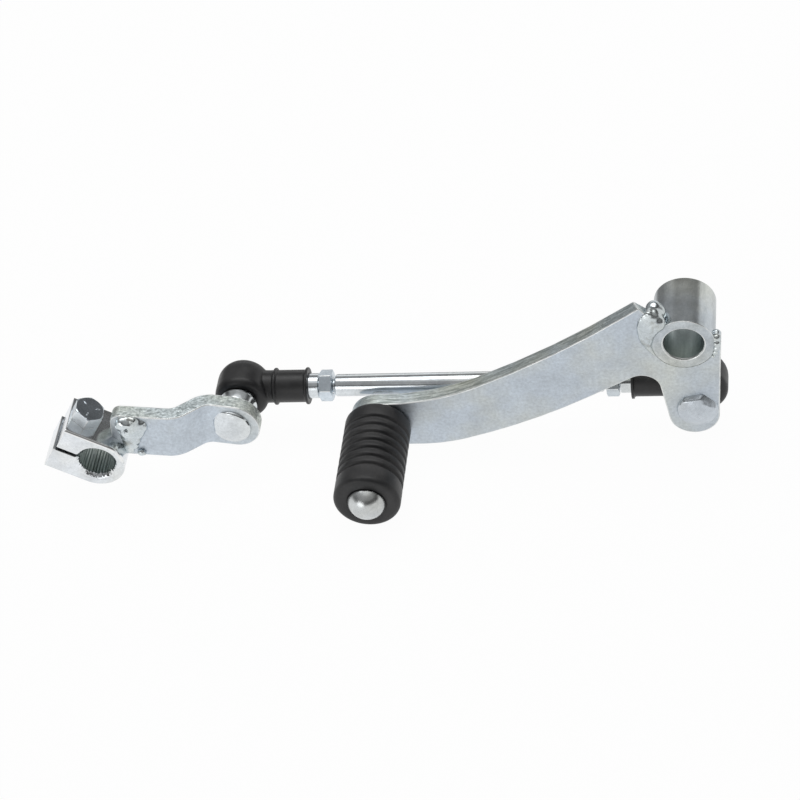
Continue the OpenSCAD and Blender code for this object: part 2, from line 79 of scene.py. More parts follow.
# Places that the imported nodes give
PEG_LOW, PEG_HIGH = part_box("peg_rubber")
PEG_AXIS = middle("peg_rubber")
BOSS_LOW, BOSS_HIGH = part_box("pivot_boss")
BOSS_R = (BOSS_HIGH.x - BOSS_LOW.x) / 2
REAR_PIVOT = Vector(frame["joints"][0]["pos_m"])
FRONT_PIVOT = Vector(frame["joints"][1]["pos_m"])
CLAMP_AXIS = Vector(next(m["pos_m"] for m in frame["record"]["mounts"] if m["name"] == "spline_bore"))
ARM_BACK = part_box("pedal_arm")[1].y

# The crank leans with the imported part: its turn about the front ball, its jaws' turn and its stud's
CRANK_TURN = math.radians(6)
JAW_TURN = math.radians(32)
STUD_TURN = math.radians(4.5)


class ShiftLeverSizes(bpy.types.PropertyGroup):
    """Sizes of the finishing work on the metal and the rubber"""

    plate_edge: bpy.props.FloatProperty(
        name="Plate edge", description="Rounding of the sheared plates' edges",
        default=0.45 * MM, min=0.1 * MM, max=0.9 * MM, unit="LENGTH", subtype="DISTANCE")
    turned_edge: bpy.props.FloatProperty(
        name="Turned edge", description="Rounding of the tube's and the clamp's edges",
        default=0.22 * MM, min=0.05 * MM, max=0.5 * MM, unit="LENGTH", subtype="DISTANCE")
    jaw_edge: bpy.props.FloatProperty(
        name="Jaw edge", description="Rounding of the upper jaw's front edge",
        default=1.0 * MM, min=0.2 * MM, max=1.4 * MM, unit="LENGTH", subtype="DISTANCE")
    groove_depth: bpy.props.FloatProperty(
        name="Groove depth", description="Depth of the grooves in the peg's rubber",
        default=1.05 * MM, min=0.4 * MM, max=1.6 * MM, unit="LENGTH", subtype="DISTANCE")
    seam_height: bpy.props.FloatProperty(
        name="Seam height", description="Height of the moulding seam on the rubber",
        default=0.06 * MM, min=0.0, max=0.2 * MM, unit="LENGTH", subtype="DISTANCE")
    boot_voxel: bpy.props.FloatProperty(
        name="Boot voxel", description="Voxel size with which the boots are blended",
        default=0.24 * MM, min=0.15 * MM, max=0.6 * MM, unit="LENGTH", subtype="DISTANCE")
    weld_voxel: bpy.props.FloatProperty(
        name="Weld voxel", description="Voxel size with which the weld drops run together",
        default=0.2 * MM, min=0.12 * MM, max=0.6 * MM, unit="LENGTH", subtype="DISTANCE")
    thread_pitch: bpy.props.FloatProperty(
        name="Thread pitch", description="Pitch of the threads on the rod and the bolt",
        default=1.0 * MM, min=0.5 * MM, max=1.5 * MM, unit="LENGTH", subtype="DISTANCE")


class ShiftLeverFinish(bpy.types.PropertyGroup):
    """Colours of the zinc and the rubber"""

    plate_colour: bpy.props.FloatVectorProperty(
        name="Zinc plate", description="Colour of the flat zinc-plated faces",
        default=(0.615, 0.655, 0.68), size=3, min=0.0, max=1.0, subtype="COLOR")
    sheared_colour: bpy.props.FloatVectorProperty(
        name="Sheared edge", description="Colour of the rough sheared edges",
        default=(0.60, 0.63, 0.62), size=3, min=0.0, max=1.0, subtype="COLOR")
    bright_colour: bpy.props.FloatVectorProperty(
        name="Bright zinc", description="Colour of the turned and drawn steel",
        default=(0.74, 0.77, 0.78), size=3, min=0.0, max=1.0, subtype="COLOR")
    nut_colour: bpy.props.FloatVectorProperty(
        name="Nut zinc", description="Colour of the lock nuts and the bolt",
        default=(0.70, 0.76, 0.80), size=3, min=0.0, max=1.0, subtype="COLOR")
    rubber_colour: bpy.props.FloatVectorProperty(
        name="Rubber", description="Colour of the black rubber",
        default=(0.011, 0.011, 0.012), size=3, min=0.0, max=1.0, subtype="COLOR")


class ShiftLeverStudio(bpy.types.PropertyGroup):
    """The camera, the floor and the lamps"""

    lens: bpy.props.FloatProperty(
        name="Lens", description="Focal length of the camera in millimetres",
        default=112.5, min=20.0, max=300.0)
    floor_gap: bpy.props.FloatProperty(
        name="Floor gap", description="Room between the part's lowest point and the floor",
        default=0.5 * MM, min=0.0, max=0.1, unit="LENGTH", subtype="DISTANCE")
    soft_box_power: bpy.props.FloatProperty(
        name="Soft box", description="Power of the overhead soft box in watts",
        default=3.2, min=0.0, max=50.0)
    fill_power: bpy.props.FloatProperty(
        name="Fill lamp", description="Power of the fill lamp at the front in watts",
        default=1.2, min=0.0, max=50.0)


class Nodes:
    """Adds and joins nodes of one node tree"""

    def __init__(self, tree):
        self.tree = tree
        tree.nodes.clear()

    def add(self, kind, label=None, **settings):
        node = self.tree.nodes.new(kind)
        for key, value in settings.items():
            if key in node.bl_rna.properties:
                setattr(node, key, value)
            else:
                node.inputs[key.replace("_", " ")].default_value = value
        if label:
            node.label = label
        return node

    def join(self, source, target):
        self.tree.links.new(source, target)

    def ramp(self, factor, stops):
        node = self.tree.nodes.new("ShaderNodeValToRGB")
        marks = node.color_ramp.elements
        while len(marks) < len(stops):
            marks.new(0.5)
        for mark, (place, colour) in zip(marks, stops):
            mark.position = place
            mark.color = (*colour, 1.0) if len(colour) == 3 else colour
        self.join(factor, node.inputs["Fac"])
        return node.outputs["Color"]

    def mix(self, factor, first, second, blend="MIX"):
        node = self.tree.nodes.new("ShaderNodeMix")
        node.data_type = "RGBA"
        node.blend_type = blend
        for value, socket in ((factor, 0), (first, 6), (second, 7)):
            if isinstance(value, (int, float)):
                node.inputs[socket].default_value = value
            elif isinstance(value, (tuple, list)) or hasattr(value, "r"):
                node.inputs[socket].default_value = (*value[:3], 1.0)
            else:
                self.join(value, node.inputs[socket])
        return node.outputs[2]

    def maths(self, operation, first, second=0.0, third=0.0, clamp=False):
        node = self.tree.nodes.new("ShaderNodeMath")
        node.operation = operation
        node.use_clamp = clamp
        for index, value in enumerate((first, second, third)):
            if isinstance(value, (int, float)):
                node.inputs[index].default_value = value
            else:
                self.join(value, node.inputs[index])
        return node.outputs[0]

    def remap(self, value, low, high, to_low=0.0, to_high=1.0):
        node = self.tree.nodes.new("ShaderNodeMapRange")
        node.inputs["From Min"].default_value = low
        node.inputs["From Max"].default_value = high
        node.inputs["To Min"].default_value = to_low
        node.inputs["To Max"].default_value = to_high
        self.join(value, node.inputs["Value"])
        return node.outputs["Result"]


def new_group(name, inputs, outputs):
    """A shader node group with named sockets: inputs are (name, kind, default), outputs (name, kind)"""
    tree = bpy.data.node_groups.new(name, "ShaderNodeTree")
    nodes = Nodes(tree)
    for socket_name, kind, default in inputs:
        socket = tree.interface.new_socket(name=socket_name, in_out="INPUT", socket_type=kind)
        if default is not None:
            socket.default_value = default
    for socket_name, kind in outputs:
        tree.interface.new_socket(name=socket_name, in_out="OUTPUT", socket_type=kind)
    return nodes, nodes.add("NodeGroupInput"), nodes.add("NodeGroupOutput")


def zinc_clouds_group():
    """Cloudy tints and fine specks of zinc plate"""
    nodes, source, sink = new_group(
        "Zinc clouds",
        [("Vector", "NodeSocketVector", None), ("Colour", "NodeSocketColor", (0.6, 0.65, 0.7, 1)),
         ("Tint", "NodeSocketFloat", 0.5), ("Specks", "NodeSocketFloat", 0.5)],
        [("Colour", "NodeSocketColor"), ("Clouds", "NodeSocketFloat"), ("Height", "NodeSocketFloat")])
    clouds = nodes.add("ShaderNodeTexNoise", Scale=90.0, Detail=4.0, Roughness=0.6)
    drift = nodes.add("ShaderNodeTexNoise", Scale=38.0, Detail=3.0, Roughness=0.55)
    specks = nodes.add("ShaderNodeTexNoise", Scale=900.0, Detail=3.0, Roughness=0.7)
    pits = nodes.add("ShaderNodeTexVoronoi", Scale=420.0)
    for texture in (clouds, drift, specks, pits):
        nodes.join(source.outputs["Vector"], texture.inputs["Vector"])
    warm = nodes.mix(nodes.remap(drift.outputs["Fac"], 0.42, 0.68), (0.94, 0.98, 1.05), (1.03, 1.01, 0.93))
    tinted = nodes.mix(source.outputs["Tint"], source.outputs["Colour"],
                       nodes.mix(1.0, source.outputs["Colour"], warm, "MULTIPLY"))
    shade = nodes.remap(clouds.outputs["Fac"], 0.3, 0.7, 0.87, 1.09)
    shaded = nodes.mix(1.0, tinted, shade, "MULTIPLY")
    fine = nodes.remap(specks.outputs["Fac"], 0.35, 0.65, 0.86, 1.08)
    speckled = nodes.mix(source.outputs["Specks"], shaded, nodes.mix(1.0, shaded, fine, "MULTIPLY"))
    dark = nodes.remap(pits.outputs["Distance"], 0.05, 0.13, 0.72, 1.0)
    rare = nodes.remap(clouds.outputs["Fac"], 0.58, 0.66)
    pitted = nodes.mix(nodes.maths("MULTIPLY", rare, source.outputs["Specks"]), speckled,
                       nodes.mix(1.0, speckled, dark, "MULTIPLY"))
    nodes.join(pitted, sink.inputs["Colour"])
    nodes.join(clouds.outputs["Fac"], sink.inputs["Clouds"])
    height = nodes.maths("ADD", nodes.maths("MULTIPLY", specks.outputs["Fac"], 0.6), clouds.outputs["Fac"])
    nodes.join(height, sink.inputs["Height"])
    return nodes.tree


def streaks_group():
    """Long thin marks along one axis, such as those of shearing, drawing or turning"""
    nodes, source, sink = new_group(
        "Tool streaks",
        [("Vector", "NodeSocketVector", None), ("Stretch", "NodeSocketVector", (1.0, 1.0, 1.0)),
         ("Strength", "NodeSocketFloat", 0.5)],
        [("Mask", "NodeSocketFloat"), ("Height", "NodeSocketFloat")])
    scaled = nodes.add("ShaderNodeVectorMath", operation="MULTIPLY")
    nodes.join(source.outputs["Vector"], scaled.inputs[0])
    nodes.join(source.outputs["Stretch"], scaled.inputs[1])
    lines = nodes.add("ShaderNodeTexNoise", Scale=1.0, Detail=5.0, Roughness=0.65)
    nodes.join(scaled.outputs["Vector"], lines.inputs["Vector"])
    mask = nodes.remap(lines.outputs["Fac"], 0.38, 0.62)
    nodes.join(nodes.maths("MULTIPLY", mask, source.outputs["Strength"]), sink.inputs["Mask"])
    nodes.join(nodes.maths("MULTIPLY", lines.outputs["Fac"], source.outputs["Strength"]), sink.inputs["Height"])
    return nodes.tree


def painted_edge_highlight_group():
    """Where an edge gets a painted highlight, broken up by noise"""
    nodes, source, sink = new_group(
        "Painted edge highlight",
        [("Vector", "NodeSocketVector", None), ("Amount", "NodeSocketFloat", 1.0)],
        [("Mask", "NodeSocketFloat")])
    # The bevel faces that soften marks; the materials lighten them as a painted edge highlight
    edge = nodes.add("ShaderNodeAttribute", attribute_name="painted_edge_highlight", attribute_type="GEOMETRY")
    breaks = nodes.add("ShaderNodeTexNoise", Scale=260.0, Detail=3.0, Roughness=0.6)
    nodes.join(source.outputs["Vector"], breaks.inputs["Vector"])
    left = nodes.remap(breaks.outputs["Fac"], 0.32, 0.6, 0.35, 1.0)
    mask = nodes.maths("MULTIPLY", edge.outputs["Fac"], left)
    nodes.join(nodes.maths("MULTIPLY", mask, source.outputs["Amount"], clamp=True), sink.inputs["Mask"])
    return nodes.tree


def rubber_group():
    """Dust, bloom and grain of black rubber"""
    nodes, source, sink = new_group(
        "Rubber bloom",
        [("Vector", "NodeSocketVector", None), ("Colour", "NodeSocketColor", (0.02, 0.02, 0.02, 1)),
         ("Bloom", "NodeSocketFloat", 0.5)],
        [("Colour", "NodeSocketColor"), ("Roughness", "NodeSocketFloat"), ("Height", "NodeSocketFloat")])
    cloud = nodes.add("ShaderNodeTexNoise", Scale=120.0, Detail=4.0, Roughness=0.6)
    grain = nodes.add("ShaderNodeTexNoise", Scale=1500.0, Detail=3.0, Roughness=0.7)
    dust = nodes.add("ShaderNodeTexVoronoi", Scale=520.0)
    for texture in (cloud, grain, dust):
        nodes.join(source.outputs["Vector"], texture.inputs["Vector"])
    bloom = nodes.maths("MULTIPLY", nodes.remap(cloud.outputs["Fac"], 0.42, 0.72), source.outputs["Bloom"])
    greyed = nodes.mix(bloom, source.outputs["Colour"], (0.052, 0.051, 0.052))
    speck = nodes.maths("MULTIPLY", nodes.remap(dust.outputs["Distance"], 0.10, 0.04),
                        nodes.remap(cloud.outputs["Fac"], 0.60, 0.66))
    nodes.join(nodes.mix(nodes.maths("MULTIPLY", speck, 0.5), greyed, (0.16, 0.15, 0.13)), sink.inputs["Colour"])
    nodes.join(nodes.remap(cloud.outputs["Fac"], 0.3, 0.7, 0.40, 0.56), sink.inputs["Roughness"])
    nodes.join(nodes.maths("ADD", grain.outputs["Fac"], cloud.outputs["Fac"]), sink.inputs["Height"])
    return nodes.tree


GROUPS = {}


def group(name):
    """The shared group of that name, built once"""
    makers = {"clouds": zinc_clouds_group, "streaks": streaks_group, "painted_edge_highlight": painted_edge_highlight_group,
              "rubber": rubber_group}
    if name not in GROUPS:
        GROUPS[name] = makers[name]()
    return GROUPS[name]


def new_material(name):
    material = bpy.data.materials.new(name)
    material.use_nodes = True
    nodes = Nodes(material.node_tree)
    output = nodes.add("ShaderNodeOutputMaterial")
    shader = nodes.add("ShaderNodeBsdfPrincipled")
    nodes.join(shader.outputs["BSDF"], output.inputs["Surface"])
    place = nodes.add("ShaderNodeTexCoord").outputs["Object"]
    return material, nodes, shader, place


def place_group(nodes, name, place, **values):
    node = nodes.add("ShaderNodeGroup")
    node.node_tree = group(name)
    nodes.join(place, node.inputs["Vector"])
    for key, value in values.items():
        socket = node.inputs[key]
        if hasattr(value, "is_linked"):
            nodes.join(value, socket)
        elif socket.type == "RGBA":
            socket.default_value = (*value[:3], 1.0)
        else:
            socket.default_value = value
    return node


def bump(nodes, shader, height, strength, distance):
    node = nodes.add("ShaderNodeBump", Strength=strength, Distance=distance)
    nodes.join(height, node.inputs["Height"])
    nodes.join(node.outputs["Normal"], shader.inputs["Normal"])


def plate_material(name, colour, sheared, along):
    """Zinc-plated plate: satin clouded faces, rough streaked sheared edges, and rounded corners lightened with a
    painted highlight
    """
    material, nodes, shader, place = new_material(name)
    shader.inputs["Metallic"].default_value = 1.0
    face = place_group(nodes, "clouds", place, Colour=colour, Tint=0.8, Specks=0.9)
    cut = place_group(nodes, "clouds", place, Colour=sheared, Tint=1.0, Specks=1.0)
    streaks = place_group(nodes, "streaks", place, Stretch=along, Strength=1.0)
    painted_edge_highlight = place_group(nodes, "painted_edge_highlight", place, Amount=0.85)
    side = nodes.add("ShaderNodeAttribute", attribute_name="sheared", attribute_type="GEOMETRY").outputs["Fac"]
    dark_cut = nodes.mix(streaks.outputs["Mask"], nodes.mix(1.0, cut.outputs["Colour"], (0.62, 0.64, 0.62), "MULTIPLY"),
                         nodes.mix(1.0, cut.outputs["Colour"], (1.28, 1.28, 1.24), "MULTIPLY"))
    base = nodes.mix(side, face.outputs["Colour"], dark_cut)
    # The bevelled edges are mixed towards pale grey and made glossier: a painted edge highlight
    nodes.join(nodes.mix(painted_edge_highlight.outputs["Mask"], base, (0.86, 0.87, 0.86)), shader.inputs["Base Color"])
    smooth = nodes.remap(face.outputs["Clouds"], 0.3, 0.7, 0.40, 0.50)
    rough = nodes.remap(streaks.outputs["Mask"], 0.0, 1.0, 0.52, 0.36)
    sides = nodes.maths("ADD", nodes.maths("MULTIPLY", smooth, nodes.maths("SUBTRACT", 1.0, side)),
                        nodes.maths("MULTIPLY", rough, side))
    nodes.join(nodes.maths("SUBTRACT", sides, nodes.maths("MULTIPLY", painted_edge_highlight.outputs["Mask"], 0.14)),
               shader.inputs["Roughness"])
    relief = nodes.maths("ADD", nodes.maths("MULTIPLY", face.outputs["Height"], 0.12),
                         nodes.maths("MULTIPLY", nodes.maths("ADD", streaks.outputs["Height"],
                                                             cut.outputs["Height"]), side))
    bump(nodes, shader, relief, 0.55, 0.35 * MM)
    return material


def bright_material(name, colour, roughness, along, streak, tint=0.4, relief=0.06, lined=0.8):
    """Bright zinc on turned, drawn or machined steel, with marks along one axis"""
    material, nodes, shader, place = new_material(name)
    shader.inputs["Metallic"].default_value = 1.0
    skin = place_group(nodes, "clouds", place, Colour=colour, Tint=tint, Specks=0.5)
    streaks = place_group(nodes, "streaks", place, Stretch=along, Strength=streak)
    painted_edge_highlight = place_group(nodes, "painted_edge_highlight", place, Amount=0.7)
    marked = nodes.mix(streaks.outputs["Mask"], skin.outputs["Colour"],
                       nodes.mix(1.0, skin.outputs["Colour"], (lined, lined * 1.01, lined * 1.02), "MULTIPLY"))
    # The bevelled edges are mixed towards pale grey: a painted edge highlight
    nodes.join(nodes.mix(painted_edge_highlight.outputs["Mask"], marked, (0.90, 0.90, 0.88)), shader.inputs["Base Color"])
    spread = nodes.remap(skin.outputs["Clouds"], 0.3, 0.7, roughness * 0.85, roughness * 1.2)
    nodes.join(nodes.maths("ADD", spread, nodes.maths("MULTIPLY", streaks.outputs["Mask"], 0.06)),
               shader.inputs["Roughness"])
    total = nodes.maths("ADD", streaks.outputs["Height"],
                        nodes.maths("MULTIPLY", skin.outputs["Height"], 0.35))
    bump(nodes, shader, total, 0.5, relief * MM)
    return material


def weld_material(name, colour):
    """Bright plated weld metal, with yellowish and smoky patches"""
    material, nodes, shader, place = new_material(name)
    shader.inputs["Metallic"].default_value = 1.0
    skin = place_group(nodes, "clouds", place, Colour=colour, Tint=1.0, Specks=0.7)
    smoke = nodes.add("ShaderNodeTexNoise", Scale=210.0, Detail=3.0, Roughness=0.6)
    nodes.join(place, smoke.inputs["Vector"])
    smoked = nodes.mix(nodes.remap(smoke.outputs["Fac"], 0.56, 0.70, 0.0, 0.55), skin.outputs["Colour"],
                       (0.24, 0.22, 0.17))
    nodes.join(smoked, shader.inputs["Base Color"])
    nodes.join(nodes.remap(smoke.outputs["Fac"], 0.35, 0.7, 0.16, 0.34), shader.inputs["Roughness"])
    bump(nodes, shader, nodes.maths("ADD", smoke.outputs["Fac"], skin.outputs["Height"]), 0.3, 0.10 * MM)
    return material


def rubber_material(name, colour, bloom, gloss=0.0):
    """Black moulded rubber with a soft bloom and a little dust"""
    material, nodes, shader, place = new_material(name)
    skin = place_group(nodes, "rubber", place, Colour=colour, Bloom=bloom)
    nodes.join(skin.outputs["Colour"], shader.inputs["Base Color"])
    nodes.join(nodes.maths("SUBTRACT", skin.outputs["Roughness"], gloss), shader.inputs["Roughness"])
    shader.inputs["Specular IOR Level"].default_value = 0.5
    bump(nodes, shader, skin.outputs["Height"], 0.35, 0.05 * MM)
    return material


MATERIALS = {}


def material(name):
    """The finished material of that name, built once"""
    if name in MATERIALS:
        return MATERIALS[name]
    look = bpy.context.scene.shift_lever_finish
    made = {
        "plate": lambda: plate_material("Zinc_plate_arm", look.plate_colour, look.sheared_colour, (150, 1200, 150)),
        "bar": lambda: plate_material("Zinc_plate_crank", look.plate_colour, look.sheared_colour, (760, 1100, 760)),
        "tube": lambda: bright_material("Zinc_tube", (0.64, 0.67, 0.67), 0.20, (150, 34, 150), 0.9, 0.8, 0.06, 0.70),
        "bore": lambda: bright_material("Zinc_bore", (0.50, 0.555, 0.535), 0.38, (620, 40, 620), 0.8, 0.5, 0.10),
        "rod": lambda: bright_material("Zinc_rod", look.bright_colour, 0.15, (12, 900, 900), 0.6, 0.3, 0.025),
        "pin": lambda: bright_material("Zinc_pin", (0.62, 0.64, 0.65), 0.24, (380, 380, 380), 0.5, 0.5, 0.14),
        "stud": lambda: bright_material("Zinc_stud", look.bright_colour, 0.15, (300, 60, 300), 0.3, 0.3, 0.03),
        "rivet": lambda: bright_material("Zinc_rivet", (0.66, 0.70, 0.73), 0.27, (240, 240, 240), 0.4, 0.4, 0.14),
        "nut": lambda: bright_material("Zinc_nut", look.nut_colour, 0.30, (420, 420, 420), 0.6, 0.4, 0.16),
        "bolt": lambda: bright_material("Zinc_bolt", (0.60, 0.65, 0.69), 0.15, (380, 380, 380), 0.4, 0.3, 0.08),
        # Near-white, duller copy of the bolt's zinc for the head's sides: a painted highlight
        "bolt_painted_highlight": lambda: bright_material("Zinc_bolt_painted_highlight", (0.92, 0.96, 0.98), 0.50, (380, 380, 380), 0.3, 0.3, 0.05),
        "clamp": lambda: bright_material("Zinc_clamp", (0.82, 0.84, 0.85), 0.15, (160, 160, 160), 0.3, 0.5, 0.04),
        "weld": lambda: weld_material("Zinc_weld", (0.66, 0.69, 0.67)),
        "peg_rubber": lambda: rubber_material("Rubber_peg", look.rubber_colour, 0.7),
        "boot_rubber": lambda: rubber_material("Rubber_boot", look.rubber_colour, 0.45, 0.06),
    }[name]()
    MATERIALS[name] = made
    return made


def cad_copy(node):
    """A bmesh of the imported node's surface, with its triangles merged into whole flat faces"""
    bm = bmesh.new()
    bm.from_mesh(frame["nodes"][node].data)
    bmesh.ops.remove_doubles(bm, verts=bm.verts, dist=0.002 * MM)
    bmesh.ops.dissolve_limit(bm, angle_limit=math.radians(0.5), verts=bm.verts, edges=bm.edges)
    return bm


def soften(bm, width, segments=3, corner=32.0, keep=None, limit=False):
    """Rounds the sharp edges and marks the new faces for a painted edge highlight"""
    painted_edge_highlight = bm.faces.layers.float.get("painted_edge_highlight") or bm.faces.layers.float.new("painted_edge_highlight")
    edges = [e for e in bm.edges if len(e.link_faces) == 2
             and e.calc_face_angle(0.0) > math.radians(corner) and (keep is None or keep(e))]
    made = bmesh.ops.bevel(bm, geom=edges, offset=width, offset_type="OFFSET", segments=segments,
                           profile=0.5, affect="EDGES", material=-1, clamp_overlap=limit)
    for face in made["faces"]:
        face[painted_edge_highlight] = 1.0


def mark_sheared(bm, test):
    layer = bm.faces.layers.float.get("sheared") or bm.faces.layers.float.new("sheared")
    for face in bm.faces:
        if test(face):
            face[layer] = 1.0


def mark_bore(bm, axis, radius):
    """Gives the faces inside a bore along Y the piece's second material"""
    for face in bm.faces:
        if all(Vector((v.co.x - axis.x, v.co.z - axis.z)).length < radius for v in face.verts):
            face.material_index = 1


def finish_piece(bm, name, body, nodes, look, crease=38.0, weighted=True, inner=None):
    """Turns a bmesh into a shown piece that rides on its body and stands for its nodes"""
    mesh = bpy.data.meshes.new(name)
    bm.to_mesh(mesh)
    bm.free()
    mesh.shade_smooth()
    mesh.set_sharp_from_angle(angle=math.radians(crease))
    piece = bpy.data.objects.new(name, mesh)
    bpy.context.scene.collection.objects.link(piece)
    mesh.materials.append(material(look))
    if inner:
        mesh.materials.append(material(inner))
    if weighted:
        normals = piece.modifiers.new("Even faces", "WEIGHTED_NORMAL")
        normals.keep_sharp = True
        normals.weight = 60
    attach(piece, body)
    if nodes:
        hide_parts(*nodes)
    return piece


def settle(piece):
    """Applies the piece's modifiers to its mesh"""
    graph = bpy.context.evaluated_depsgraph_get()
    mesh = bpy.data.meshes.new_from_object(piece.evaluated_get(graph))
    piece.modifiers.clear()
    old = piece.data
    piece.data = mesh
    bpy.data.meshes.remove(old)


def blend_voxels(piece, voxel, passes, factor=0.5):
    """Runs the piece's overlapping shapes together and smooths them"""
    remesh = piece.modifiers.new("Run together", "REMESH")
    remesh.mode = "VOXEL"
    remesh.voxel_size = voxel
    remesh.adaptivity = 0.0
    remesh.use_smooth_shade = True
    smooth = piece.modifiers.new("Smooth", "SMOOTH")
    smooth.factor = factor
    smooth.iterations = passes
    settle(piece)
    piece.data.shade_smooth()


def roughen(piece, size, depth, seed, pits=()):
    """Moves the vertices of a lumpy piece in and out by a seeded noise, and sinks its pits"""
    shift = Vector((seed, seed * 0.7, seed * 1.3))
    for vertex in piece.data.vertices:
        move = depth * noise.noise(vertex.co / size + shift)
        for place, radius, sunk in pits:
            move -= sunk * math.exp(-((vertex.co - place).length / radius) ** 2)
        vertex.co += vertex.normal * move
    piece.data.update()


def turned(profile, axis_point, steps=96):
    """Spins a profile of (radius, y) round an axis along Y through axis_point"""
    bm = bmesh.new()
    verts = [bm.verts.new((r, y, 0)) for r, y in profile]
    edges = [bm.edges.new(pair) for pair in zip(verts, verts[1:])]
    bmesh.ops.spin(bm, geom=verts + edges, cent=(0, 0, 0), axis=(0, 1, 0), dvec=(0, 0, 0),
                   angle=math.tau, steps=steps, use_merge=True, use_duplicate=False)
    bmesh.ops.remove_doubles(bm, verts=bm.verts, dist=0.003 * MM)
    bmesh.ops.recalc_face_normals(bm, faces=bm.faces)
    bmesh.ops.translate(bm, verts=bm.verts, vec=axis_point)
    return bm


def arc(centre, radius, start, end, count):
    """Points of an arc, with angles in degrees"""
    turn = [math.radians(start + (end - start) * k / (count - 1)) for k in range(count)]
    return [(centre[0] + radius * math.cos(a), centre[1] + radius * math.sin(a)) for a in turn]


def drops(places):
    """A bmesh of balls, each (centre, (rx, ry, rz))"""
    bm = bmesh.new()
    for centre, radii in places:
        scale = Matrix.Diagonal((*radii, 1.0))
        bmesh.ops.create_icosphere(bm, subdivisions=3, radius=1.0, matrix=Matrix.Translation(centre) @ scale)
    return bm


class SHIFTLEVER_OT_arm(bpy.types.Operator):
    """The pedal arm's plate with rounded edges that carry a painted highlight"""

    bl_idname = "shift_lever.arm"
    bl_label = "Pedal arm"

    def execute(self, context):
        sizes = context.scene.shift_lever_sizes
        bm = cad_copy("pedal_arm")
        mark_sheared(bm, lambda face: abs(face.normal.y) < 0.35)
        # The back corner at the tube has run into the weld
        top = max(v.co.z for v in bm.verts)
        for vert in bm.verts:
            if vert.co.z > top - 0.1 * MM and vert.co.y > ARM_BACK / 2:
                vert.co += Vector((-2.0, 0.0, -1.5)) * MM
        bore = BOSS_R + 1.2 * MM
        soften(bm, sizes.plate_edge,
               keep=lambda e: Vector((sum(v.co.x for v in e.verts) / 2, sum(v.co.z for v in e.verts) / 2)).length > bore)
        finish_piece(bm, "Pedal_arm_plate", "lever", ["pedal_arm"], "plate")
        return {"FINISHED"}


class SHIFTLEVER_OT_boss(bpy.types.Operator):
    """The pivot tube with its bored and chamfered ends"""

    bl_idname = "shift_lever.boss"
    bl_label = "Pivot tube"

    def execute(self, context):
        sizes = context.scene.shift_lever_sizes
        bm = cad_copy("pivot_boss")
        mark_bore(bm, Vector((0, 0, 0)), 6.9 * MM)
        soften(bm, sizes.turned_edge)
        finish_piece(bm, "Pivot_tube", "lever", ["pivot_boss"], "tube", inner="bore")
        return {"FINISHED"}


class SHIFTLEVER_OT_boss_welds(bpy.types.Operator):
    """The weld beads between the arm and the pivot tube"""

    bl_idname = "shift_lever.boss_welds"
    bl_label = "Tube welds"

    def execute(self, context):
        sizes = context.scene.shift_lever_sizes
        # The crescent's outer edge: angle round the tube's axis and distance from it
        outline = ((208, 10.9), (196, 12.1), (180, 13.8), (163, 16.0), (148, 17.9), (136, 19.4), (129, 19.4))
        swell = []
        for (a0, r0), (a1, r1) in zip(outline, outline[1:]):
            for k in range(5):
                angle = math.radians(a0 + (a1 - a0) * k / 5)
                width = (r0 + (r1 - r0) * k / 5) * MM - BOSS_R
                high = min(2.3 * MM, 0.4 * width + 0.3 * MM)
                for t in (0.0, 0.3, 0.55, 0.75):
                    fat = max(0.5 * MM, (0.34 - 0.12 * t) * width)
                    reach = BOSS_R + max(t * width, 0.75 * fat)
                    swell.append((Vector((reach * math.cos(angle), 0.2 * MM, reach * math.sin(angle))),
                                  (fat, high * (1 - t * t) + 0.2 * MM, fat)))
        for x, y, z, r in ((-9.8, 1.8, 11.6, 3.4), (-8.6, 4.2, 10.6, 3.4), (-9.6, 4.8, 12.2, 3.0), (-8.8, 6.2, 10.6, 2.8)):
            swell.append((Vector((x, y, z)) * MM, (r * MM, r * MM, r * MM)))
        left = finish_piece(drops(swell), "Tube_weld_left", "lever", ["boss_weld_left"], "weld",
                            weighted=False)
        blend_voxels(left, sizes.weld_voxel, 90)
        roughen(left, 3.4 * MM, 0.22 * MM, 3.1,
                pits=((Vector((-12.6, -1.6, 14.2)) * MM, 1.1 * MM, 0.7 * MM),
                      (Vector((-14.0, -0.8, 13.0)) * MM, 0.9 * MM, 0.5 * MM)))
        short = []
        for angle, r, y in ((-30, 0.8, 0.0), (-20, 1.0, 0.0), (-10, 1.15, 0.0), (0, 1.3, 0.1), (8, 1.6, 1.3),
                            (9, 1.6, 3.4)):
            a = math.radians(angle)
            reach = BOSS_R + 0.5 * MM
            short.append((Vector((reach * math.cos(a), y * MM, reach * math.sin(a))), (r * MM, r * MM * 0.9, r * MM)))
        right = finish_piece(drops(short), "Tube_weld_right", "lever", ["boss_weld_right"],
                             "weld", weighted=False)
        blend_voxels(right, sizes.weld_voxel, 14)
        roughen(right, 1.6 * MM, 0.14 * MM, 7.4)
        return {"FINISHED"}


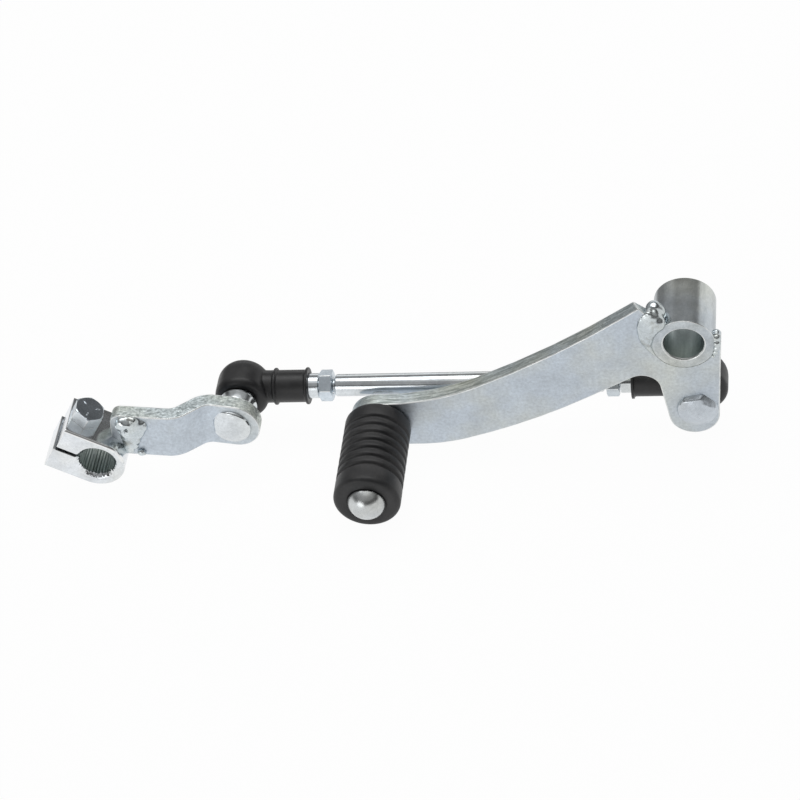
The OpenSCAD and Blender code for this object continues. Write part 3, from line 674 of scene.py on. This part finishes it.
class SHIFTLEVER_OT_peg(bpy.types.Operator):
    """The domed peg pin and its grooved rubber sleeve"""

    bl_idname = "shift_lever.peg"
    bl_label = "Peg"

    def execute(self, context):
        sizes = context.scene.shift_lever_sizes
        outer = (PEG_HIGH.x - PEG_LOW.x) / 2
        length = PEG_HIGH.y - PEG_LOW.y
        bore = outer - 6.6 * MM
        profile = [(bore, 0.0)] + arc((outer - 1.6 * MM, -1.6 * MM), 1.6 * MM, 90, 0, 6)
        depth = sizes.groove_depth
        for i in range(7):
            y = -(6.8 + 3.8 * i) * MM
            half = [(0.0, 1.15), (0.05, 0.98), (0.20, 0.82), (0.70, 0.62), (1.0, 0.34)]
            steps = [(outer - (d * depth if d > 0.5 else d * MM), w * MM) for d, w in half]
            profile += [(r, y + w) for r, w in steps] + [(r, y - w) for r, w in reversed(steps)]
        nose = 1.9 * MM
        profile += arc((outer - nose, nose - length), nose, 0, -90, 9)
        profile += [(7.4 * MM, -length), (7.0 * MM, -length + 0.25 * MM), (bore, -length + 0.25 * MM), (bore, 0.0)]
        bm = turned(profile, Vector((PEG_AXIS.x, PEG_HIGH.y, PEG_AXIS.z)), steps=144)
        for vert in bm.verts:
            out = Vector((vert.co.x - PEG_AXIS.x, 0, vert.co.z - PEG_AXIS.z))
            if out.length > outer - 0.5 * MM:
                off = math.remainder(math.degrees(math.atan2(out.z, out.x)) - 84, 180)
                if abs(off) < 1.5:
                    vert.co -= out.normalized() * sizes.seam_height
        finish_piece(bm, "Peg_rubber_sleeve", "lever", ["peg_rubber"], "peg_rubber", crease=60,
                     weighted=False)
        pin = cad_copy("peg_pin")
        soften(pin, 0.15 * MM, segments=2)
        finish_piece(pin, "Peg_pin", "lever", ["peg_pin"], "pin")
        return {"FINISHED"}


def join_into(bm, other, matrix):
    """Moves another bmesh by the matrix and adds it to bm"""
    bmesh.ops.transform(other, matrix=matrix, verts=other.verts)
    scrap = bpy.data.meshes.new("scrap")
    other.to_mesh(scrap)
    other.free()
    bm.from_mesh(scrap)
    bpy.data.meshes.remove(scrap)


def hammered(bm, base, along, radius, height, rim, flats, dents, seed):
    """Adds a hammered rivet head on a flat face: its base point, its direction, its rounded rim and its blows"""
    head = bmesh.new()
    # The crown is an arc that lifts off the rim's rounding
    crown = height - rim
    flat_r = radius - rim * 0.8
    round_r = (flat_r ** 2 + crown ** 2) / (2 * crown)
    low = math.degrees(math.asin(min(1.0, (round_r - crown) / round_r)))
    side = [(flat_r + rim * 0.8 * math.cos(a), rim * math.sin(a)) for a in [math.radians(15 * k) for k in range(6)]]
    profile = [(radius, -0.3 * MM)] + side + arc((0, height - round_r), round_r, low, 90, 14)
    verts = [head.verts.new((r, 0, h)) for r, h in profile]
    verts[-1].co.x = 0
    edges = [head.edges.new(pair) for pair in zip(verts, verts[1:])]
    bmesh.ops.spin(head, geom=verts + edges, cent=(0, 0, 0), axis=(0, 0, 1), dvec=(0, 0, 0),
                   angle=math.tau, steps=72, use_merge=True, use_duplicate=False)
    bmesh.ops.remove_doubles(head, verts=head.verts, dist=0.003 * MM)
    bmesh.ops.recalc_face_normals(head, faces=head.faces)
    for vert in head.verts:
        for direction, reach in flats:
            d = Vector(direction).normalized()
            over = vert.co.dot(d) - reach
            if over > 0:
                vert.co -= d * over * 0.92
        if vert.co.z > 0.5 * MM:
            for x, y, size, depth in dents:
                away = (Vector((vert.co.x, vert.co.y)) - Vector((x, y))).length
                vert.co.z -= depth * math.exp(-(away / size) ** 2)
            vert.co.z += 0.09 * MM * noise.noise(vert.co / (1.7 * MM) + Vector((seed, 0, 0)))
    turn = Vector((0, 0, 1)).rotation_difference(Vector(along)).to_matrix().to_4x4()
    join_into(bm, head, Matrix.Translation(base) @ turn)


def crank_matrix():
    """From the crank's own frame at the front ball to the part's frame"""
    return Matrix.Translation(FRONT_PIVOT) @ Matrix.Rotation(CRANK_TURN, 4, "Y")


def clamp_matrix():
    """From the clamp's own frame, at its bore's front mouth with the jaws towards -X, to the part's frame"""
    mouth = Vector((CLAMP_AXIS.x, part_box("spline_clamp")[0].y, CLAMP_AXIS.z))
    return Matrix.Translation(mouth) @ Matrix.Rotation(JAW_TURN, 4, "Y")


class SHIFTLEVER_OT_studs(bpy.types.Operator):
    """The two ball studs with their hammered rivet heads"""

    bl_idname = "shift_lever.studs"
    bl_label = "Ball studs"

    def execute(self, context):
        rear = cad_copy("rear_ball_stud")
        self.behead(rear, Vector((REAR_PIVOT.x, 0.0, REAR_PIVOT.z)), Vector((0, -1, 0)))
        # The blows have driven the rear head a little down and to the left
        hammered(rear, Vector((REAR_PIVOT.x - 0.9 * MM, 0.0, REAR_PIVOT.z - 1.4 * MM)), (0, -1, 0), 7.1 * MM, 3.3 * MM, 1.9 * MM,
                 flats=(((-0.20, 0.90, 0.38), 6.0 * MM), ((0.55, 0.56, 0.62), 5.1 * MM), ((0, 0, 1), 3.1 * MM)),
                 dents=((0.3 * MM, -0.4 * MM, 0.35 * MM, 0.35 * MM), (-0.9 * MM, -0.3 * MM, 0.25 * MM, 0.15 * MM),
                        (1.2 * MM, -0.6 * MM, 0.25 * MM, 0.15 * MM), (-0.2 * MM, 0.5 * MM, 0.22 * MM, 0.12 * MM)),
                 seed=2.0)
        finish_piece(rear, "Rear_ball_stud", "lever", ["rear_ball_stud"], "rivet", crease=30,
                     weighted=False)
        front = cad_copy("front_ball_stud")
        frame_of_stud = crank_matrix() @ Matrix.Rotation(-STUD_TURN, 4, "Z")
        base = frame_of_stud @ Vector((0, -20.0 * MM, 0))
        along = (frame_of_stud.to_3x3() @ Vector((0, -1, 0))).normalized()
        self.behead(front, base, along)
        hammered(front, base, along, 7.2 * MM, 2.4 * MM, 1.1 * MM,
                 flats=(((-0.90, 0.15, 0.40), 5.9 * MM), ((-0.30, 0.30, 0.90), 2.8 * MM), ((0, 0, 1), 2.2 * MM)),
                 dents=((0.4 * MM, -1.6 * MM, 0.3 * MM, 0.1 * MM),), seed=9.0)
        # The steel seat that flares towards the boot
        seat = turned([(5.0 * MM, -14.6 * MM), (5.2 * MM, -12.2 * MM), (5.5 * MM, -10.8 * MM), (6.1 * MM, -9.7 * MM),
                       (6.6 * MM, -9.1 * MM), (6.8 * MM, -8.8 * MM), (6.8 * MM, -8.3 * MM), (6.5 * MM, -8.05 * MM),
                       (3.2 * MM, -8.05 * MM), (3.2 * MM, -14.6 * MM), (5.0 * MM, -14.6 * MM)], Vector((0, 0, 0)))
        join_into(front, seat, frame_of_stud)
        finish_piece(front, "Front_ball_stud", "crank", ["front_ball_stud"], "stud", crease=30,
                     weighted=False)
        return {"FINISHED"}

    def behead(self, bm, base, along):
        """Takes the plain head off the stud and closes its shank at the plate's face"""
        def on_head(vert):
            off = vert.co - base
            out = off.dot(along)
            return out > 0.02 * MM or (out > -0.02 * MM and (off - along * out).length > 4 * MM)

        bmesh.ops.delete(bm, geom=[v for v in bm.verts if on_head(v)], context="VERTS")
        bmesh.ops.holes_fill(bm, edges=[e for e in bm.edges if e.is_boundary], sides=0)


class SHIFTLEVER_OT_joints(bpy.types.Operator):
    """The rubber boots, and the steel sockets and rings inside them"""

    bl_idname = "shift_lever.joints"
    bl_label = "Ball joints"

    def execute(self, context):
        sizes = context.scene.shift_lever_sizes
        for end in ("rear", "front"):
            boot = finish_piece(cad_copy(end + "_boot"), end.capitalize() + "_boot", "link", [end + "_boot"],
                                "boot_rubber", weighted=False)
            blend_voxels(boot, sizes.boot_voxel, 6)
            socket = cad_copy(end + "_socket")
            finish_piece(socket, end.capitalize() + "_socket", "link", [end + "_socket"], "stud")
            ring = cad_copy(end + "_snap_ring")
            finish_piece(ring, end.capitalize() + "_snap_ring", "link", [end + "_snap_ring"], "rod",
                         weighted=False)
        return {"FINISHED"}


class SHIFTLEVER_OT_link(bpy.types.Operator):
    """The link rod with its threaded ends, and its two lock nuts"""

    bl_idname = "shift_lever.link"
    bl_label = "Link rod"

    def execute(self, context):
        sizes = context.scene.shift_lever_sizes
        low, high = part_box("link_rod")
        centre = (low + high) / 2
        rod_r = (high.z - low.z) / 2
        nut_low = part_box("front_lock_nut")[1].x
        shoulder = nut_low + 1.0 * MM
        half = centre.x - low.x
        crest, root = 2.98 * MM, 2.45 * MM
        end = half
        profile = [(0.0, -end), (root, -end)]
        y = -end + 0.3 * MM
        stop = -(centre.x - shoulder)
        while y + sizes.thread_pitch < stop:
            profile += [(root, y), (crest, y + 0.42 * sizes.thread_pitch), (crest, y + 0.54 * sizes.thread_pitch)]
            y += sizes.thread_pitch
        edge = 0.5 * MM
        profile += [(root, y), (root, stop), (rod_r - edge, stop), (rod_r - 0.12 * MM, stop + 0.30 * MM),
                    (rod_r, stop + 0.62 * MM)]
        profile += [(r, -y) for r, y in reversed(profile)]
        bm = turned(profile, Vector((0, 0, 0)), steps=64)
        bmesh.ops.rotate(bm, cent=(0, 0, 0), matrix=Matrix.Rotation(-math.pi / 2, 3, "Z"), verts=bm.verts)
        bmesh.ops.translate(bm, verts=bm.verts, vec=centre)
        finish_piece(bm, "Link_rod", "link", ["link_rod"], "rod", crease=28, weighted=False)
        for end_name in ("rear", "front"):
            nut = cad_copy(end_name + "_lock_nut")
            # The face towards the boot is faced off, and the corners are rounded
            left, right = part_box(end_name + "_lock_nut")[0].x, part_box(end_name + "_lock_nut")[1].x
            for vert in nut.verts:
                share = (vert.co.x - left) / (right - left)
                vert.co.x += 0.6 * MM * (1 - share) if end_name == "front" else -0.6 * MM * share
            soften(nut, 0.45 * MM, segments=3, corner=45, keep=lambda e: e.calc_length() > 1.5 * MM, limit=True)
            finish_piece(nut, end_name.capitalize() + "_lock_nut", "link", [end_name + "_lock_nut"],
                         "nut", crease=50)
        return {"FINISHED"}


class SHIFTLEVER_OT_crank(bpy.types.Operator):
    """The bent crank bar with its sheared edges"""

    bl_idname = "shift_lever.crank"
    bl_label = "Crank bar"

    def execute(self, context):
        sizes = context.scene.shift_lever_sizes
        bm = cad_copy("crank_arm")
        bmesh.ops.recalc_face_normals(bm, faces=bm.faces)
        mark_sheared(bm, lambda face: abs(face.normal.y) < 0.35)

        def outer_edge(edge):
            centre = (edge.verts[0].co + edge.verts[1].co) / 2
            from_clamp = Vector((centre.x - CLAMP_AXIS.x, centre.z - CLAMP_AXIS.z)).length
            from_stud = Vector((centre.x - FRONT_PIVOT.x, centre.z - FRONT_PIVOT.z)).length
            return from_clamp > 10.6 * MM and from_stud > 6.5 * MM

        soften(bm, sizes.plate_edge * 0.9, keep=outer_edge)
        finish_piece(bm, "Crank_bar", "crank", ["crank_arm"], "bar")
        return {"FINISHED"}


class SHIFTLEVER_OT_clamp(bpy.types.Operator):
    """The split clamp with its serrated bore, and its pinch bolt"""

    bl_idname = "shift_lever.clamp"
    bl_label = "Splined clamp"

    def execute(self, context):
        sizes = context.scene.shift_lever_sizes
        bm = cad_copy("spline_clamp")
        mark_bore(bm, CLAMP_AXIS, 6.7 * MM)
        inward = clamp_matrix().inverted()
        crown = max((inward @ v.co).z for v in bm.verts)

        def outside(edge):
            centre = (edge.verts[0].co + edge.verts[1].co) / 2
            return Vector((centre.x - CLAMP_AXIS.x, centre.z - CLAMP_AXIS.z)).length > 8.4 * MM

        def top_front(edge):
            ends = [inward @ v.co for v in edge.verts]
            return outside(edge) and all(p.y < 0.05 * MM and p.z > 0.6 * crown for p in ends)

        soften(bm, sizes.jaw_edge, segments=5, keep=top_front)
        soften(bm, sizes.turned_edge, segments=2, keep=outside)
        finish_piece(bm, "Splined_clamp", "crank", ["spline_clamp"], "clamp", inner="bore")
        bolt = cad_copy("pinch_bolt")
        head = max((inward @ v.co).z for v in bolt.verts)
        over = [inward @ v.co for v in bolt.verts if (inward @ v.co).z > head - 0.05 * MM]
        centre = sum(over, Vector()) / len(over)
        soften(bolt, 0.2 * MM, segments=2, corner=45, keep=lambda e: e.calc_length() > 1.5 * MM, limit=True)
        # The head's sides take the near-white copy of the zinc: a painted highlight
        for face in bolt.faces:
            if abs((inward.to_3x3() @ face.normal).z) < 0.6:
                face.material_index = 1
        for turn in (20, 140, 260):
            a = math.radians(turn)
            mark = Matrix.Translation(centre + Vector((math.cos(a), math.sin(a), 0)) * 2.9 * MM)
            mark = clamp_matrix() @ mark @ Matrix.Rotation(a, 4, "Z") @ Matrix.Diagonal((0.85 * MM, 0.3 * MM, 0.13 * MM, 1))
            bmesh.ops.create_icosphere(bolt, subdivisions=3, radius=1.0, matrix=mark)
        finish_piece(bolt, "Pinch_bolt", "crank", ["pinch_bolt"], "bolt", crease=50,
                     inner="bolt_painted_highlight")
        return {"FINISHED"}


class SHIFTLEVER_OT_clamp_welds(bpy.types.Operator):
    """The lumpy weld between the clamp and the crank bar"""

    bl_idname = "shift_lever.clamp_welds"
    bl_label = "Clamp welds"

    def execute(self, context):
        sizes = context.scene.shift_lever_sizes
        # Places in the crank's own frame: X and Z from the front ball, height over the bar, radii
        lumps = ((-38.2, 6.4, 0.9, 3.2), (-35.4, 6.4, 0.4, 3.4), (-32.8, 5.0, -0.5, 3.4), (-36.8, 3.4, 1.0, 3.4),
                 (-34.0, 2.4, 0.0, 3.2), (-36.8, 0.6, 0.6, 2.9), (-35.2, -1.0, -0.1, 3.0), (-37.0, -2.6, 0.2, 2.6),
                 (-35.8, -4.0, -0.2, 2.6), (-37.3, -5.6, -0.1, 2.3), (-37.2, -7.0, -0.2, 2.0))
        bar_face = (crank_matrix().inverted() @ Vector((0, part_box("clamp_weld_tack")[1].y, 0))).y
        places = []
        for x, z, out, r in lumps:
            place = crank_matrix() @ Vector((x * MM, bar_face - out * MM, z * MM))
            places.append((place, (r * MM, r * MM * 0.8, r * MM)))
        weld = finish_piece(drops(places), "Clamp_weld", "crank", ["clamp_weld"], "weld",
                            weighted=False)
        blend_voxels(weld, sizes.weld_voxel, 90)
        hollow = crank_matrix() @ Vector((-37.6 * MM, bar_face - 3.2 * MM, 5.4 * MM))
        roughen(weld, 2.4 * MM, 0.4 * MM, 5.2, pits=((hollow, 2.0 * MM, 0.4 * MM),))
        tack_at = middle("clamp_weld_tack")
        tack = finish_piece(drops(((tack_at, (1.5 * MM, 1.0 * MM, 1.4 * MM)),
                                   (tack_at + Vector((0.9, 0.1, -0.4)) * MM, (0.8 * MM, 0.7 * MM, 0.8 * MM)))),
                            "Clamp_weld_tack", "crank", ["clamp_weld_tack"], "weld", weighted=False)
        blend_voxels(tack, sizes.weld_voxel * 0.7, 2)
        roughen(tack, 1.2 * MM, 0.12 * MM, 1.7)
        return {"FINISHED"}


class SHIFTLEVER_OT_studio(bpy.types.Operator):
    """The pale floor, the soft lamps, the surroundings and the camera"""

    bl_idname = "shift_lever.studio"
    bl_label = "Studio"

    def execute(self, context):
        studio = context.scene.shift_lever_studio
        scene = context.scene
        self.floor(CAD_BOX[0].z - studio.floor_gap)
        self.surroundings(scene)
        centre = (CAD_BOX[0] + CAD_BOX[1]) / 2
        self.lamp("Overhead soft box", centre + Vector((-0.05, 0.32, 0.95)), centre, (1.1, 0.5),
                  studio.soft_box_power)
        self.lamp("Front fill", centre + Vector((-0.5, -0.9, 0.25)), centre, (0.6, 0.4), studio.fill_power)
        camera = bpy.data.objects.new("Camera", bpy.data.cameras.new("Camera"))
        scene.collection.objects.link(camera)
        camera.data.lens = studio.lens
        camera.data.sensor_width = 36.0
        camera.data.clip_start = 0.05
        camera.data.clip_end = 30.0
        right = Vector((0.98685, 0.10278, -0.12475))
        up = Vector((0.01691, 0.70193, 0.71204))
        turn = Matrix((right, up, right.cross(up))).transposed()
        camera.matrix_world = Matrix.Translation((0.040772, -0.616125, 0.580256)) @ turn.to_4x4()
        scene.camera = camera
        scene.view_settings.view_transform = "Standard"
        return {"FINISHED"}

    def floor(self, height):
        bm = bmesh.new()
        bmesh.ops.create_grid(bm, x_segments=1, y_segments=1, size=6.0, matrix=Matrix.Translation((0, 0, height)))
        mesh = bpy.data.meshes.new("Floor")
        bm.to_mesh(mesh)
        bm.free()
        floor = bpy.data.objects.new("Floor", mesh)
        bpy.context.scene.collection.objects.link(floor)
        material_ = bpy.data.materials.new("Pale_floor")
        material_.use_nodes = True
        nodes = Nodes(material_.node_tree)
        output = nodes.add("ShaderNodeOutputMaterial")
        paper = nodes.add("ShaderNodeBsdfDiffuse", Color=(0.85, 0.85, 0.85, 1.0))
        glow = nodes.add("ShaderNodeEmission", Color=(1.0, 1.0, 1.0, 1.0), Strength=1.0)
        path = nodes.add("ShaderNodeLightPath")
        seen = nodes.maths("MAXIMUM", path.outputs["Is Camera Ray"], path.outputs["Is Transmission Ray"])
        shown = nodes.add("ShaderNodeMixShader")
        nodes.join(nodes.maths("MULTIPLY", seen, 0.97), shown.inputs["Fac"])
        nodes.join(paper.outputs["BSDF"], shown.inputs[1])
        nodes.join(glow.outputs["Emission"], shown.inputs[2])
        # In mirror-like metal the floor is white in front, a little duller to the right, and dark at the far left
        place = nodes.add("ShaderNodeSeparateXYZ")
        nodes.join(nodes.add("ShaderNodeTexCoord").outputs["Object"], place.inputs["Vector"])
        duller = nodes.remap(place.outputs["X"], -0.20, 0.04, 0.97, 0.86)
        far = nodes.maths("MULTIPLY", nodes.remap(place.outputs["Y"], 0.07, 0.15),
                          nodes.remap(place.outputs["X"], -0.02, -0.10))
        level = nodes.maths("MULTIPLY", duller, nodes.remap(far, 0.0, 1.0, 1.0, 0.24))
        mirrored = nodes.add("ShaderNodeEmission", Color=(1.0, 1.0, 1.0, 1.0))
        nodes.join(level, mirrored.inputs["Strength"])
        blend = nodes.add("ShaderNodeMixShader")
        nodes.join(path.outputs["Is Glossy Ray"], blend.inputs["Fac"])
        nodes.join(shown.outputs["Shader"], blend.inputs[1])
        nodes.join(mirrored.outputs["Emission"], blend.inputs[2])
        nodes.join(blend.outputs["Shader"], output.inputs["Surface"])
        mesh.materials.append(material_)

    def surroundings(self, scene):
        world = bpy.data.worlds.new("Studio")
        scene.world = world
        world.use_nodes = True
        nodes = Nodes(world.node_tree)
        output = nodes.add("ShaderNodeOutputWorld")
        direction = nodes.add("ShaderNodeSeparateXYZ")
        nodes.join(nodes.add("ShaderNodeTexCoord").outputs["Generated"], direction.inputs["Vector"])
        height = nodes.remap(direction.outputs["Z"], -1.0, 1.0)
        dark, dim, grey, pale, white = [(level,) * 3 for level in (0.08, 0.22, 0.37, 0.85, 1.0)]
        far_left = nodes.ramp(height, ((0.0, dim), (0.52, dim), (0.60, grey), (0.86, grey), (0.92, pale), (1.0, pale)))
        far_middle = nodes.ramp(height, ((0.0, white), (0.68, white), (0.74, dim), (0.87, dim), (0.93, pale),
                                         (1.0, pale)))
        far_right = nodes.ramp(height, ((0.0, white), (0.67, pale), (0.70, dark), (0.87, dark), (0.93, pale),
                                        (1.0, pale)))
        behind = nodes.mix(nodes.remap(direction.outputs["X"], 0.38, 0.52), far_middle, far_right)
        behind = nodes.mix(nodes.remap(direction.outputs["X"], -0.35, -0.55), behind, far_left)
        before = nodes.ramp(height, ((0.0, white), (0.56, white), (0.63, dark), (0.74, dark), (0.84, grey),
                                     (0.94, grey), (0.985, pale)))
        side = nodes.remap(direction.outputs["Y"], -0.15, 0.15)
        room = nodes.mix(side, before, behind)
        path = nodes.add("ShaderNodeLightPath")
        seen = nodes.mix(path.outputs["Is Camera Ray"], room, (1.0, 1.0, 1.0))
        background = nodes.add("ShaderNodeBackground", Strength=1.0)
        nodes.join(seen, background.inputs["Color"])
        nodes.join(background.outputs["Background"], output.inputs["Surface"])

    def lamp(self, name, place, target, size, power):
        light = bpy.data.lights.new(name, "AREA")
        light.shape = "RECTANGLE"
        light.size, light.size_y = size
        light.energy = power
        lamp = bpy.data.objects.new(name, light)
        bpy.context.scene.collection.objects.link(lamp)
        lamp.matrix_world = Matrix.Translation(place) @ (place - target).to_track_quat("Z", "Y").to_matrix().to_4x4()


PIECES = (SHIFTLEVER_OT_arm, SHIFTLEVER_OT_boss, SHIFTLEVER_OT_boss_welds, SHIFTLEVER_OT_peg, SHIFTLEVER_OT_studs,
          SHIFTLEVER_OT_joints, SHIFTLEVER_OT_link, SHIFTLEVER_OT_crank, SHIFTLEVER_OT_clamp,
          SHIFTLEVER_OT_clamp_welds, SHIFTLEVER_OT_studio)


class SHIFTLEVER_PT_panel(bpy.types.Panel):
    """Lists the lever's pieces and their sizes"""

    bl_idname = "SHIFTLEVER_PT_panel"
    bl_label = "Shift Lever"
    bl_space_type = "VIEW_3D"
    bl_region_type = "UI"
    bl_category = "Shift Lever"

    def draw(self, context):
        scene = context.scene
        for settings in (scene.shift_lever_sizes, scene.shift_lever_finish, scene.shift_lever_studio):
            box = self.layout.box()
            for key in settings.__annotations__:
                box.prop(settings, key)
        for piece in PIECES:
            self.layout.operator(piece.bl_idname)


SETTINGS = (("shift_lever_sizes", ShiftLeverSizes), ("shift_lever_finish", ShiftLeverFinish),
            ("shift_lever_studio", ShiftLeverStudio))
CLASSES = tuple(kind for _, kind in SETTINGS) + PIECES + (SHIFTLEVER_PT_panel,)


def register():
    for kind in CLASSES:
        bpy.utils.register_class(kind)
    for name, kind in SETTINGS:
        setattr(bpy.types.Scene, name, bpy.props.PointerProperty(type=kind))


def unregister():
    for name, _ in SETTINGS:
        delattr(bpy.types.Scene, name)
    for kind in reversed(CLASSES):
        bpy.utils.unregister_class(kind)


def main():
    register()
    for piece in PIECES:
        area, name = piece.bl_idname.split(".")
        getattr(getattr(bpy.ops, area), name)()


if __name__ == "__main__":
    main()
